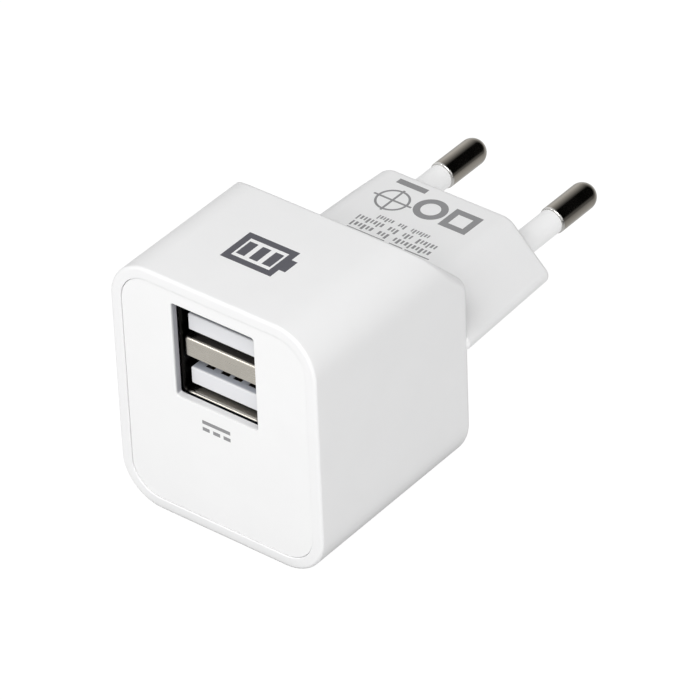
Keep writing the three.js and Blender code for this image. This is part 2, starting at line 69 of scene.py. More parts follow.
BODY_WIDTH = 33.5
BODY_HEIGHT = 38.48  # the prints on top reach the CAD's 38.5
BODY_DEPTH = 32.0
BODY_CORNER = 6.4
BODY_EDGE = 0.45
BODY_REAR_EDGE = 1.2
SLOPE_EDGE = 0.3
SLANT = 9.5  # what the slope takes off the top, and off the rear
CREASE = 1.3  # half length of the rounding where the slope meets the rear face
WALL = 1.7

BLOCK_END = 50.1
BLOCK_FLAT = 10.1  # half width of its flat top and bottom
BLOCK_TIP = 16.95  # half width at its side tips
BLOCK_HALF_HEIGHT = 6.9
BLOCK_FLARE = 1.04  # its size at the body's rear face, against its end
BLOCK_END_EDGE = 0.8
BLOCK_CORNER = 2.8
BLOCK_TIP_CORNER = 1.2
BLOCK_END_WALL = 2.0

PIN_Z = 19.5
PIN_X = 9.25
PIN_LENGTH = 19.0
PIN_RADIUS = 2.0
SLEEVE_RADIUS = 1.8
SLEEVE_LENGTH = 10.0
PIN_RIM = 0.2
PIN_BEVEL = 0.34
CORE_RADIUS = 1.2
PIN_ROOT = BLOCK_END - 4.6

PANEL_GAP = 0.045
PANEL_RECESS = 0.2
PANEL_THICKNESS = 1.1
SKIRT_DEPTH = 5.0
SKIRT_THICKNESS = 1.1
WINDOW_WIDTH = 13.5
WINDOW_HEIGHT = 14.65
WINDOW_Z = 27.4

PORT_WIDTH = 12.8
PORT_HEIGHT = 5.4
PORT_PITCH = 8.5
SHELL_SHEET = 0.3
SHELL_FRONT = 1.6
SHELL_REAR = 15.4
INSULATOR_FRONT = 13.2
DIVIDER_WIDTH = 12.4
DIVIDER_HEIGHT = 2.95
TONGUE_WIDTH = 11.4
TONGUE_THICKNESS = 2.55
TONGUE_FRONT = 2.2
TONGUE_LIFT = 0.9
CONTACT_X = (-3.5, -1.0, 1.0, 3.5)
CONTACT_WIDTH = 1.0
CONTACT_SHEET = 0.25
CONTACT_SUNK = 0.4  # its root's underside below the carrier's top
GROOVE_WIDTH = 1.4
GROOVE_START = 1.1
GROOVE_DEPTH = 1.2
USB_BOARD_Y = 16.0

ARC_STEPS = 14  # segments of a quarter turn on the large corners
EDGE_STEPS = 7  # segments of a quarter turn on the small edge roundings
RIM_STEPS = 4  # segments of a quarter turn on rims of about 0.1 mm
TURN_STEPS = 96  # segments of a full turn on the pins
DOME_STEPS = 24  # rings of the dome on a pin's tip
SHARP = math.radians(38)


# ---- outlines ----
# An outline is a list of (a, b, na, nb): a point and its outward normal in a plane.


def steps(low, high, count):
    return [low + (high - low) * i / count for i in range(count + 1)]


def quarter(count=EDGE_STEPS):
    return steps(0.0, math.pi / 2, count)


def rounded_polygon(corners, arc_steps=ARC_STEPS):
    """corners are (a, b, radius), anticlockwise. Each corner becomes an arc with its normals."""
    outline = []
    for i, (a, b, radius) in enumerate(corners):
        here = Vector((a, b))
        back = (Vector(corners[i - 1][:2]) - here).normalized()
        ahead = (Vector(corners[(i + 1) % len(corners)][:2]) - here).normalized()
        half = back.angle(ahead) / 2
        centre = here + (back + ahead).normalized() * (radius / math.sin(half))
        first = Vector((-back.y, back.x))
        turn = math.pi - 2 * half
        start = math.atan2(first.y, first.x)
        count = max(2, round(arc_steps * turn / (math.pi / 2)))
        for t in steps(start, start + turn, count):
            na, nb = math.cos(t), math.sin(t)
            outline.append((centre.x + radius * na, centre.y + radius * nb, na, nb))
    return outline


def rounded_rectangle(width, height, radius, centre, arc_steps=ARC_STEPS):
    a, b = centre
    corners = [
        (a + width / 2, b + height / 2, radius),
        (a - width / 2, b + height / 2, radius),
        (a - width / 2, b - height / 2, radius),
        (a + width / 2, b - height / 2, radius),
    ]
    return rounded_polygon(corners, arc_steps)


def inward(outline, distance):
    return [(a - distance * na, b - distance * nb) for a, b, na, nb in outline]


# ---- meshes ----


def new_object(name, points, faces):
    mesh = bpy.data.meshes.new(name)
    mesh.from_pydata(points, [], faces)
    mesh.validate()
    piece = bpy.data.objects.new(name, mesh)
    bpy.context.scene.collection.objects.link(piece)
    return piece


def walls(rings):
    """The points of some rings, and the faces between each ring and the next."""
    count = len(rings[0])
    points = [p for ring in rings for p in ring]
    faces = []
    for k in range(len(rings) - 1):
        here, there = k * count, (k + 1) * count
        for i in range(count):
            j = (i + 1) % count
            faces.append((here + i, here + j, there + j, there + i))
    return points, faces


def loft(name, rings):
    """A closed solid through rings of points that all have the same number of points."""
    count = len(rings[0])
    points, faces = walls(rings)
    last = (len(rings) - 1) * count
    faces.append(tuple(reversed(range(count))))
    faces.append(tuple(last + i for i in range(count)))
    return outward(new_object(name, points, faces))


def outward(piece):
    """Turns the faces out if the solid is inside out."""
    mesh = piece.data
    mesh.calc_loop_triangles()
    volume = 0.0
    for tri in mesh.loop_triangles:
        a, b, c = (mesh.vertices[i].co for i in tri.vertices)
        volume += a.dot(b.cross(c))
    if volume < 0:
        mesh.flip_normals()
    return piece


def rings_along_y(outline, levels):
    """levels are (y, inset): one ring of the outline at each."""
    return [[(a, y, b) for a, b in inward(outline, inset)] for y, inset in levels]


def rings_along_z(outline, levels):
    return [[(a, b, z) for a, b in inward(outline, inset)] for z, inset in levels]


def rounding(length, inset, count=EDGE_STEPS):
    """A rounded edge from its end inwards: (way from the end, inset), down to an inset of 0."""
    return [(length * (1 - math.cos(t)), inset * (1 - math.sin(t))) for t in quarter(count)]


def rounded_end(end, edge, count=EDGE_STEPS):
    """Levels of a prism's last edge, rounded, up to its end."""
    return [(end - way, inset) for way, inset in reversed(rounding(edge, edge, count))]


def rounded_levels(start, end, start_edge, end_edge, count=EDGE_STEPS):
    """Levels of a prism from start to end whose two end edges are rounded."""
    levels = [(start + way, inset) for way, inset in rounding(start_edge, start_edge, count)]
    return levels + rounded_end(end, end_edge, count)


def flared_levels(start, end, face, length, flare_out, count=RIM_STEPS):
    """Levels of a cutter whose hole opens out, rounded, at the face that it enters by."""
    lip = [(face + way, -inset) for way, inset in rounding(length, flare_out, count)]
    return [(start, -flare_out), *lip, (end, 0.0)]


def box(name, low, high):
    (left, front, bottom), (right, rear, top) = low, high
    corners = [(right, top), (left, top), (left, bottom), (right, bottom)]
    return loft(name, [[(x, y, z) for x, z in corners] for y in (front, rear)])


def turned(name, profile, x, z, count=TURN_STEPS):
    """A profile of (radius, y) turned about a line along Y.

    A profile that starts and ends at radius 0 makes a full solid; any other makes a ring.
    """
    points, rows, faces = [], [], []
    for radius, y in profile:
        if radius == 0:
            rows.append([len(points)] * count)
            points.append((x, y, z))
            continue
        rows.append(list(range(len(points), len(points) + count)))
        for i in range(count):
            t = 2 * math.pi * i / count
            points.append((x + radius * math.cos(t), y, z + radius * math.sin(t)))
    pairs = zip(rows, rows[1:] + ([] if profile[0][0] == 0 else rows[:1]))
    for row, following in pairs:
        for i in range(count):
            j = (i + 1) % count
            face = [row[i], row[j], following[j], following[i]]
            faces.append(tuple(dict.fromkeys(face)))
    return outward(new_object(name, points, faces))


def bake(piece):
    """Applies the piece's modifiers."""
    graph = bpy.context.evaluated_depsgraph_get()
    mesh = bpy.data.meshes.new_from_object(piece.evaluated_get(graph))
    old = piece.data
    piece.modifiers.clear()
    piece.data = mesh
    bpy.data.meshes.remove(old)


def boolean(piece, operation, *tools):
    for tool in tools:
        step = piece.modifiers.new(operation.lower(), "BOOLEAN")
        step.operation = operation
        step.solver = "EXACT"
        step.object = tool
        bake(piece)
        bpy.data.objects.remove(tool)
    return piece


def joined(piece, *tools):
    return boolean(piece, "UNION", *tools)


def cut(piece, *tools):
    return boolean(piece, "DIFFERENCE", *tools)


def finished(piece, material, slot, *nodes, smooth=True):
    """Moves a piece to the row's frame, shades it, and hides the CAD nodes that it stands for."""
    to_row = Matrix.Translation((0.0, FRONT, 0.0)) @ Matrix.Scale(MM, 4)
    piece.data.transform(to_row)
    piece.data.materials.clear()
    piece.data.materials.append(material)
    if smooth:
        piece.data.shade_smooth()
        piece.data.set_sharp_from_angle(angle=SHARP)
        normals = piece.modifiers.new("flat faces stay flat", "WEIGHTED_NORMAL")
        normals.keep_sharp = True
    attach(piece, "root")
    if nodes:
        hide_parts(*nodes)


# ---- materials ----


def shader(name, color, roughness, metallic=0.0, **sockets):
    """A plain material; sockets are more of the shader's inputs, with _ for a space."""
    material = bpy.data.materials.new(name)
    material.use_nodes = True
    principled = material.node_tree.nodes["Principled BSDF"]
    principled.inputs["Base Color"].default_value = (*color, 1.0)
    principled.inputs["Roughness"].default_value = roughness
    principled.inputs["Metallic"].default_value = metallic
    for socket, value in sockets.items():
        principled.inputs[socket.replace("_", " ")].default_value = value
    return material


def texture(material, kind, scale, stretch=(1.0, 1.0, 1.0), **settings):
    """A procedural texture read in the charger's own metres; scale is features per metre."""
    nodes, links = material.node_tree.nodes, material.node_tree.links
    place = nodes.new("ShaderNodeTexCoord")
    mapping = nodes.new("ShaderNodeMapping")
    mapping.inputs["Scale"].default_value = stretch
    links.new(place.outputs["Object"], mapping.inputs["Vector"])
    made = nodes.new(kind)
    made.inputs["Scale"].default_value = scale
    for socket, value in settings.items():
        made.inputs[socket.replace("_", " ")].default_value = value
    links.new(mapping.outputs["Vector"], made.inputs["Vector"])
    return made


def ranged(material, value, low, high, from_low=0.3, from_high=0.7):
    """Turns from_low..from_high into low..high; a noise lies mostly between 0.3 and 0.7."""
    nodes, links = material.node_tree.nodes, material.node_tree.links
    made = nodes.new("ShaderNodeMapRange")
    made.inputs["From Min"].default_value = from_low
    made.inputs["From Max"].default_value = from_high
    made.inputs["To Min"].default_value = low
    made.inputs["To Max"].default_value = high
    links.new(value, made.inputs["Value"])
    return made.outputs["Result"]


def vary_roughness(material, value, low, high):
    nodes, links = material.node_tree.nodes, material.node_tree.links
    links.new(ranged(material, value, low, high), nodes["Principled BSDF"].inputs["Roughness"])


def vary_color(material, value, first, second, from_low=0.3, from_high=0.7):
    nodes, links = material.node_tree.nodes, material.node_tree.links
    mix = nodes.new("ShaderNodeMix")
    mix.data_type = "RGBA"
    mix.inputs["A"].default_value = (*first, 1.0)
    mix.inputs["B"].default_value = (*second, 1.0)
    links.new(ranged(material, value, 0.0, 1.0, from_low, from_high), mix.inputs["Factor"])
    links.new(mix.outputs["Result"], nodes["Principled BSDF"].inputs["Base Color"])


def bump(material, value, height):
    """height is the depth of the relief in metres."""
    nodes, links = material.node_tree.nodes, material.node_tree.links
    made = nodes.new("ShaderNodeBump")
    made.inputs["Strength"].default_value = 1.0
    made.inputs["Distance"].default_value = height
    links.new(value, made.inputs["Height"])
    links.new(made.outputs["Normal"], nodes["Principled BSDF"].inputs["Normal"])


def moulded_plastic(name, color, roughness, grain=4200.0):
    """Satin moulded plastic: a fine spark-eroded grain and slow changes of gloss."""
    material = shader(name, color, roughness, IOR=1.5)
    fine = texture(material, "ShaderNodeTexNoise", grain, Detail=3.0)
    slow = texture(material, "ShaderNodeTexNoise", 160.0, Detail=2.0)
    vary_roughness(material, slow.outputs["Fac"], roughness - 0.04, roughness + 0.05)
    vary_color(material, slow.outputs["Fac"], color, [c * 0.985 for c in color])
    bump(material, fine.outputs["Fac"], 6 * MICRON)
    return material


def turned_metal(name, color, roughness):
    """Plated brass, turned on a lathe: very fine rings round the pin."""
    material = shader(name, color, roughness, metallic=1.0)
    rings = texture(material, "ShaderNodeTexNoise", 300.0, stretch=(1.0, 60.0, 1.0), Detail=4.0)
    slow = texture(material, "ShaderNodeTexNoise", 350.0, Detail=2.0)
    vary_roughness(material, slow.outputs["Fac"], roughness - 0.03, roughness + 0.05)
    vary_color(material, slow.outputs["Fac"], color, [c * 0.93 for c in color])
    bump(material, rings.outputs["Fac"], 1.2 * MICRON)
    return material


def sheet_metal(name, color, roughness):
    """Rolled sheet: faint drawn lines along X."""
    material = shader(name, color, roughness, metallic=1.0)
    lines = texture(material, "ShaderNodeTexNoise", 250.0, stretch=(1.0, 40.0, 40.0), Detail=4.0)
    slow = texture(material, "ShaderNodeTexNoise", 500.0, Detail=2.0)
    vary_roughness(material, lines.outputs["Fac"], roughness - 0.04, roughness + 0.06)
    vary_color(material, slow.outputs["Fac"], color, [c * 0.94 for c in color])
    bump(material, lines.outputs["Fac"], 1.5 * MICRON)
    return material


# ---- painted light and shade that change with the place on a piece ----

TOP_SKIN = 0.06  # how far below a flat top a point still counts as on top


def place_of(material):
    """The shaded point in the row's frame: its separate X, Y and Z, in metres."""
    nodes, links = material.node_tree.nodes, material.node_tree.links
    place = nodes.new("ShaderNodeTexCoord")
    split = nodes.new("ShaderNodeSeparateXYZ")
    links.new(place.outputs["Object"], split.inputs["Vector"])
    return split.outputs


def feed(material, socket, value):
    """Gives an input a value, which is another node's output or a number."""
    if isinstance(value, (int, float)):
        socket.default_value = value
    else:
        material.node_tree.links.new(value, socket)


def calculated(material, operation, *values):
    """A Math node's result; each value is a socket or a number."""
    made = material.node_tree.nodes.new("ShaderNodeMath")
    made.operation = operation
    for socket, value in zip(made.inputs, values):
        feed(material, socket, value)
    return made.outputs["Value"]


def mixed(material, factor, first, second):
    """First where the factor is 0, second where it is 1; each is a socket or a number."""
    made = material.node_tree.nodes.new("ShaderNodeMix")
    feed(material, made.inputs["Factor"], factor)
    feed(material, made.inputs["A"], first)
    feed(material, made.inputs["B"], second)
    return made.outputs["Result"]


def beyond(material, value, edge, fade):
    """1 where a value is past an edge, 0 before it, with a fade from the edge on, in metres."""
    return ranged(material, value, 0.0, 1.0, edge, edge + fade)


def shade(material, mask, tint, blend="MULTIPLY"):
    """Paints shade or light into the base colour: multiplies it by a tint where the mask is 1, or
    mixes the tint in.
    """
    nodes, links = material.node_tree.nodes, material.node_tree.links
    base = nodes["Principled BSDF"].inputs["Base Color"]
    mix = nodes.new("ShaderNodeMix")
    mix.data_type = "RGBA"
    mix.blend_type = blend
    mix.inputs["B"].default_value = (*tint, 1.0)
    links.new(base.links[0].from_socket, mix.inputs["A"])
    links.new(mask, mix.inputs["Factor"])
    links.new(mix.outputs["Result"], base)


def depth(y):
    """The row's Y, in metres, of a depth behind the front face."""
    return FRONT + y * MM


def pin_plating():
    """The pins' plating, with a painted highlight: a lighter ring on the bevel that meets the
    sleeve.
    """
    material = turned_metal("pin_plating", (0.39, 0.36, 0.315), 0.11)
    _, y, _ = place_of(material)
    bevel_end = depth(BLOCK_END + SLEEVE_LENGTH + PIN_BEVEL - 0.06)
    barrel = beyond(material, y, bevel_end, fade=0.05 * MM)
    bevel_highlight = calculated(material, "SUBTRACT", 1.0, barrel)
    # painted highlight: the bevel is mixed to a light grey
    shade(material, bevel_highlight, (0.66, 0.65, 0.63), "MIX")
    return material


def panel_plastic():
    """The cover's plastic, with painted shade on the side walls and on the sill of its window."""
    material = moulded_plastic("panel_plastic", PANEL_WHITE, 0.38)
    x, y, z = place_of(material)
    skin = 0.15
    jamb = (WINDOW_WIDTH / 2 - skin) * MM
    sill = (WINDOW_Z - WINDOW_HEIGHT / 2 + skin) * MM
    beside = beyond(material, calculated(material, "ABSOLUTE", x), jamb, fade=0.1 * MM)
    behind = beyond(material, y, depth(PANEL_RECESS + 0.12), fade=0.3 * MM)
    # painted shade on the window's side walls, behind the front face
    shade(material, calculated(material, "MULTIPLY", beside, behind), (0.47, 0.475, 0.51))
    under = ranged(material, z, 1.0, 0.0, sill, sill + 0.1 * MM)
    # painted shade on the window's floor and below it
    shade(material, calculated(material, "MULTIPLY", under, behind), (0.86, 0.86, 0.87))
    return material


def can_steel():
    """The sockets' can: its own colour at the front of its lower lip, with painted shade making it
    near black inside, above and to the sides.
    """
    material = sheet_metal("can_steel", (0.62, 0.59, 0.54), 0.22)
    x, y, z = place_of(material)
    lip_start, lip_end = depth(SHELL_FRONT + 0.7), depth(SHELL_FRONT + 2.1)
    lip_top = (WINDOW_Z - (PORT_PITCH + PORT_HEIGHT) / 2 + 0.3) * MM
    lip_half_width = 5.1 * MM
    inside = ranged(material, y, 0.0, 1.0, lip_start, lip_end)
    above = beyond(material, z, lip_top, fade=0.6 * MM)
    beside = beyond(material, calculated(material, "ABSOLUTE", x), lip_half_width, fade=0.7 * MM)
    painted_shade = calculated(material, "MAXIMUM", calculated(material, "MAXIMUM", inside, above), beside)
    # painted shade: near black everywhere but the front of the lower lip
    shade(material, painted_shade, (0.02, 0.02, 0.02))
    return material


def divider_steel():
    """The divider, with painted shade on its top face."""
    material = sheet_metal("divider_steel", (0.66, 0.625, 0.56), 0.24)
    _, y, z = place_of(material)
    top = WINDOW_Z + DIVIDER_HEIGHT / 2
    on_top_face = beyond(material, z, (top - TOP_SKIN) * MM, fade=0.05 * MM)
    behind = beyond(material, y, depth(SHELL_FRONT + 0.35), fade=0.2 * MM)
    # painted shade darkens the top face behind the front edge
    shade(material, calculated(material, "MULTIPLY", on_top_face, behind), (0.3, 0.3, 0.32))
    return material


def tongue_plastic(level, row):
    """A carrier's plastic, with painted shade on its contact side and down in its grooves."""
    material = moulded_plastic("tongue_" + row, (0.8, 0.805, 0.825), 0.4, grain=6000.0)
    _, y, z = place_of(material)
    top = tongue_top(level)
    groove_middle = (top - 0.1 - GROOVE_DEPTH / 2) * MM
    off_middle = calculated(material, "SUBTRACT", z, groove_middle)
    off_middle = calculated(material, "ABSOLUTE", off_middle)
    dark_to, clear_from = 0.55 * MM, 0.62 * MM
    in_groove = ranged(material, off_middle, 1.0, 0.0, dark_to, clear_from)
    past_lip = beyond(material, y, depth(TONGUE_FRONT + GROOVE_START - 0.05), fade=0.02 * MM)
    # painted shade: near black down in the grooves
    shade(material, calculated(material, "MULTIPLY", in_groove, past_lip), (0.03, 0.03, 0.03))
    on_top_face = beyond(material, z, (top - TOP_SKIN) * MM, fade=0.05 * MM)
    behind = beyond(material, y, depth(TONGUE_FRONT + 0.15), fade=0.2 * MM)
    # painted shadow on the top face, the contact side
    shade(material, calculated(material, "MULTIPLY", on_top_face, behind), (0.62, 0.65, 0.71))
    return material


# ---- inks and the inner parts' materials ----


def printed_ink(name, color):
    """Pad-printed ink, with a little grain in its tone."""
    material = shader(name, color, 0.5)
    grain = texture(material, "ShaderNodeTexNoise", 9000.0, Detail=2.0)
    vary_color(material, grain.outputs["Fac"], color, [c * 1.12 for c in color])
    bump(material, grain.outputs["Fac"], 4 * MICRON)
    return material


def laminate(name):
    """Green board: solder mask over a woven glass cloth."""
    material = shader(name, (0.02, 0.16, 0.07), 0.4)
    weave = texture(material, "ShaderNodeTexChecker", 3000.0)
    cloud = texture(material, "ShaderNodeTexNoise", 700.0, Detail=3.0)
    vary_color(material, cloud.outputs["Fac"], (0.02, 0.15, 0.06), (0.03, 0.2, 0.09))
    bump(material, weave.outputs["Fac"], 6 * MICRON)
    return material


def wound(name, color, pitch, metallic=0.0):
    """Turns of wire or tape, one above the other."""
    material = shader(name, color, 0.4, metallic=metallic)
    turns = texture(material, "ShaderNodeTexWave", 1.0 / pitch)
    turns.bands_direction = "Z"
    vary_color(material, turns.outputs["Fac"], color, [c * 0.7 for c in color], 0.0, 1.0)
    bump(material, turns.outputs["Fac"], 50 * MICRON)
    return material


def speckled(name, color, other, roughness, scale):
    """A coated or pressed surface whose tone and gloss wander between two colours."""
    material = shader(name, color, roughness)
    grain = texture(material, "ShaderNodeTexNoise", scale, Detail=4.0)
    vary_color(material, grain.outputs["Fac"], color, other)
    vary_roughness(material, grain.outputs["Fac"], roughness - 0.08, roughness + 0.08)
    bump(material, grain.outputs["Fac"], 10 * MICRON)
    return material


WHITE = (0.885, 0.885, 0.887)
PANEL_WHITE = (0.9, 0.9, 0.9)
MATERIALS = {  # by the record's slots; the cover, can, divider and carriers make their own
    "housing_plastic": moulded_plastic("housing_plastic", WHITE, 0.42),
    "pin_plating": pin_plating(),
    "sleeve_plastic": moulded_plastic("sleeve_plastic", (0.97, 0.97, 0.97), 0.45),
    "copper_sheet": sheet_metal("copper_sheet", (0.72, 0.38, 0.2), 0.35),
    "contact_gold": sheet_metal("contact_gold", (0.25, 0.19, 0.09), 0.25),
    "board_laminate": laminate("board_laminate"),
    "ferrite": speckled("ferrite", (0.035, 0.035, 0.04), (0.07, 0.07, 0.075), 0.7, 5000.0),
    "black_moulding": speckled(
        "black_moulding", (0.01, 0.01, 0.011), (0.02, 0.02, 0.02), 0.5, 6000.0
    ),
    "winding_tape": wound("winding_tape", (0.75, 0.52, 0.08), 0.004),
    "can_sleeve": speckled("can_sleeve", (0.02, 0.04, 0.08), (0.03, 0.05, 0.1), 0.35, 900.0),
    "blue_coating": speckled("blue_coating", (0.04, 0.15, 0.4), (0.05, 0.19, 0.47), 0.35, 1500.0),
    "resistor_coating": speckled(
        "resistor_coating", (0.2, 0.33, 0.25), (0.25, 0.38, 0.3), 0.6, 2500.0
    ),
    "copper_wire": wound("copper_wire", (0.6, 0.25, 0.1), 0.0016, metallic=1.0),
}
DARK_INK = printed_ink("dark_ink", (0.085, 0.085, 0.1))
GREY_INK = printed_ink("grey_ink", (0.26, 0.26, 0.265))


# ---- housing ----


def rear_depth(z, inset):
    """Where the body ends at a height: its rear face, or the slope, blended where they meet."""
    rear = BODY_DEPTH - inset
    slope = BODY_DEPTH + BODY_HEIGHT - SLANT - inset * math.sqrt(2) - z
    blend = max(CREASE - abs(rear - slope), 0.0) / CREASE
    return min(rear, slope) - blend * blend * CREASE / 4


def body_outline(inset):
    """The body seen from the front: its right side from the top down, then the mirror of it."""
    half = BODY_WIDTH / 2 - inset
    radius = BODY_CORNER - inset
    high = BODY_HEIGHT - inset - radius
    low = inset + radius
    crease = BODY_HEIGHT - SLANT
    reach = 1.3 * CREASE
    levels = steps(crease + reach, crease - reach, 12)
    levels += [crease - 8.0, crease - 16.0]  # two more on the flat side, lower down
    right = []
    for t in steps(0.0, math.pi / 2, ARC_STEPS):
        n = (math.sin(t), math.cos(t))
        right.append((half - radius + radius * n[0], high + radius * n[1], *n))
    right += [(half, z, 1.0, 0.0) for z in levels]
    for t in steps(0.0, math.pi / 2, ARC_STEPS):
        n = (math.cos(t), -math.sin(t))
        right.append((half - radius + radius * n[0], low + radius * n[1], *n))
    return right + [(-a, b, -na, nb) for a, b, na, nb in reversed(right)]


def rear_ring(outline, t, edge, inset):
    """One ring of the rear edge's rounding; t runs from 0 on the side to pi/2 on the rear face."""
    ring = []
    for a, b, na, nb in outline:
        crisp = min(max(1.5 * nb, 0.0), 1.0)  # 1 along the slope's top edge, 0 on the sides
        radius = edge + (min(edge, SLOPE_EDGE) - edge) * crisp
        reach = radius * (1 - math.cos(t))
        x, z = a - reach * na, b - reach * nb
        dz = 0.01
        tilt = (rear_depth(z + dz, inset) - rear_depth(z - dz, inset)) / (2 * dz)
        drop = radius * (1 - math.sin(t)) * math.hypot(1, tilt * na)
        ring.append((x, rear_depth(z, inset) - drop, z))
    return ring


def body_block(name, front_levels, edge, inset=0.0):
    """The rounded block with its sloping top rear edge, as one closed solid.

    Its ends are strips between the right half of the outline and the left half.
    """
    outline = body_outline(inset)
    rings = rings_along_y(outline, front_levels)
    rings += [rear_ring(outline, t, edge, inset) for t in quarter()]
    count = len(outline)
    points, faces = walls(rings)
    last = (len(rings) - 1) * count
    for i in range(count // 2 - 1):
        mirror = count - 1 - i
        faces.append((last + i, last + i + 1, last + mirror - 1, last + mirror))
        faces.append((mirror, mirror - 1, i + 1, i))
    return outward(new_object(name, points, faces))


def eased(u):
    """From 0 to 1 as u does, level at both ends."""
    return u * u * (3 - 2 * u)


def flare(y):
    """How much larger than at its end the plug block is, at a depth.

    Inside the body it narrows again, so that its side tips don't come out of the body's sides.
    """
    narrowing, start, length = 0.12, BODY_DEPTH - 0.5, 1.2
    grown = 1 + (BLOCK_FLARE - 1) * (BLOCK_END - y) / (BLOCK_END - BODY_DEPTH)
    buried = min(max((start - y) / length, 0.0), 1.0)
    return grown * (1 - narrowing * eased(buried))


def plug_block(name, levels, inset=0.0):
    """The hexagonal block behind the body. levels are (y, extra inset)."""
    # The inset moves each corner so that the wall is nearly even.
    flat, tip, half = BLOCK_FLAT - 0.4 * inset, BLOCK_TIP - 1.3 * inset, BLOCK_HALF_HEIGHT - inset
    outline = rounded_polygon(
        [
            (tip, 0.0, BLOCK_TIP_CORNER),
            (flat, half, BLOCK_CORNER),
            (-flat, half, BLOCK_CORNER),
            (-tip, 0.0, BLOCK_TIP_CORNER),
            (-flat, -half, BLOCK_CORNER),
            (flat, -half, BLOCK_CORNER),
        ]
    )
    rings = []
    for y, more in levels:
        grown = flare(y)
        rings.append([(grown * a, y, PIN_Z + grown * b) for a, b in inward(outline, more)])
    return loft(name, rings)


def board_rails():
    """Ribs on the side walls that hold the main board's edges."""
    inner = BODY_WIDTH / 2 - WALL
    width, root, thickness = 1.2, 0.4, 0.9
    front, rear = 8.0, 28.0
    rails = []
    for side in (-1, 1):
        x = sorted((side * (inner - width), side * (inner + root)))
        for z in (4.4, 6.9):
            rails.append(box("rail", (x[0], front, z), (x[1], rear, z + thickness)))
    return rails


def make_housing():
    housing = body_block("housing_shell", rounding(BODY_EDGE, BODY_EDGE), BODY_REAR_EDGE)
    root = [(y, 0.0) for y in steps(BODY_DEPTH - 1.7, BODY_DEPTH - 0.4, 6)]
    end = rounded_end(BLOCK_END, BLOCK_END_EDGE)
    joined(housing, plug_block("plug_block", root + end))

    lip, hollow_edge = 0.12, 0.3  # roundings of the rim's inner edge and of the hollow's far end
    hollow = body_block("hollow", flared_levels(-1.0, 2.0, 0.0, lip, lip), hollow_edge, WALL)
    hollow_levels = [(BODY_DEPTH - 4.0, 0.0), (BLOCK_END - BLOCK_END_WALL, 0.0)]
    joined(hollow, plug_block("plug_hollow", hollow_levels, WALL))
    cut(housing, hollow)

    bore = SLEEVE_RADIUS + 0.03
    low, high = BLOCK_END - 5, BLOCK_END + 1
    profile = [(0.0, low), (bore, low), (bore, high), (0.0, high)]
    for side in (-1, 1):
        cut(housing, turned("bore", profile, side * PIN_X, PIN_Z, count=48))
    joined(housing, *board_rails())
    finished(housing, MATERIALS["housing_plastic"], "housing_plastic", "housing")


def make_front_panel():
    inset = WALL + PANEL_GAP
    size = (BODY_WIDTH - 2 * inset, BODY_HEIGHT - 2 * inset, BODY_CORNER - inset)
    centre = (0.0, BODY_HEIGHT / 2)
    outline = rounded_rectangle(*size, centre)
    edge, corner = 0.1, 0.45  # roundings of the cover's edges and of the window's corners
    levels = rounded_levels(PANEL_RECESS, SKIRT_DEPTH, edge, edge, RIM_STEPS)
    panel = loft("front_cover", rings_along_y(outline, levels))
    back = PANEL_RECESS + PANEL_THICKNESS
    room = rings_along_y(outline, [(back, SKIRT_THICKNESS), (SKIRT_DEPTH + 1, SKIRT_THICKNESS)])
    centre = (0.0, WINDOW_Z)
    window = rounded_rectangle(WINDOW_WIDTH, WINDOW_HEIGHT, corner, centre, arc_steps=6)
    opening = flared_levels(-1.0, SKIRT_DEPTH, PANEL_RECESS, edge, edge)
    cut(panel, loft("room", room), loft("window", rings_along_y(window, opening)))
    finished(panel, panel_plastic(), "panel_plastic", "front_panel")


# ---- mains pins ----


def make_pin(side, line):
    """A head inside the block, a thin core in the sleeve, and the metal end with its dome."""
    head, head_edge, head_end = 2.2, 0.1, PIN_ROOT + 1.8
    metal = BLOCK_END + SLEEVE_LENGTH
    end = BLOCK_END + PIN_LENGTH
    profile = [(0.0, PIN_ROOT), (head - head_edge, PIN_ROOT), (head, PIN_ROOT + head_edge)]
    profile += [(head, head_end), (CORE_RADIUS, head_end), (CORE_RADIUS, metal)]
    profile += [(PIN_RADIUS - inset, metal + way) for way, inset in rounding(PIN_BEVEL, PIN_RIM)]
    for t in quarter(DOME_STEPS)[:-1]:
        profile.append((PIN_RADIUS * math.cos(t), end - PIN_RADIUS + PIN_RADIUS * math.sin(t)))
    profile.append((0.0, end))
    pin = turned("pin_metal_" + line, profile, side * PIN_X, PIN_Z)
    finished(pin, MATERIALS["pin_plating"], "pin_plating", "pin_" + line)


def make_sleeve(side, line):
    """The sleeve starts inside the block and ends just short of the metal."""
    start = BLOCK_END - 2.5
    end = BLOCK_END + SLEEVE_LENGTH - 0.02
    bore = CORE_RADIUS + 0.05
    edge = 0.1
    profile = [(bore, start), (SLEEVE_RADIUS - edge, start), (SLEEVE_RADIUS, start + edge)]
    profile += [(SLEEVE_RADIUS - inset, y) for y, inset in rounded_end(end, edge, RIM_STEPS)]
    profile.append((bore, end))
    sleeve = turned("pin_sleeve_" + line, profile, side * PIN_X, PIN_Z)
    finished(sleeve, MATERIALS["sleeve_plastic"], "sleeve_plastic", "sleeve_" + line)


# ---- USB sockets ----


def floor_of(level):
    """Height of a socket's floor; level is 1 for the upper socket and -1 for the lower one."""
    return WINDOW_Z + level * PORT_PITCH / 2 - PORT_HEIGHT / 2


def tongue_top(level):
    return floor_of(level) + TONGUE_LIFT + TONGUE_THICKNESS


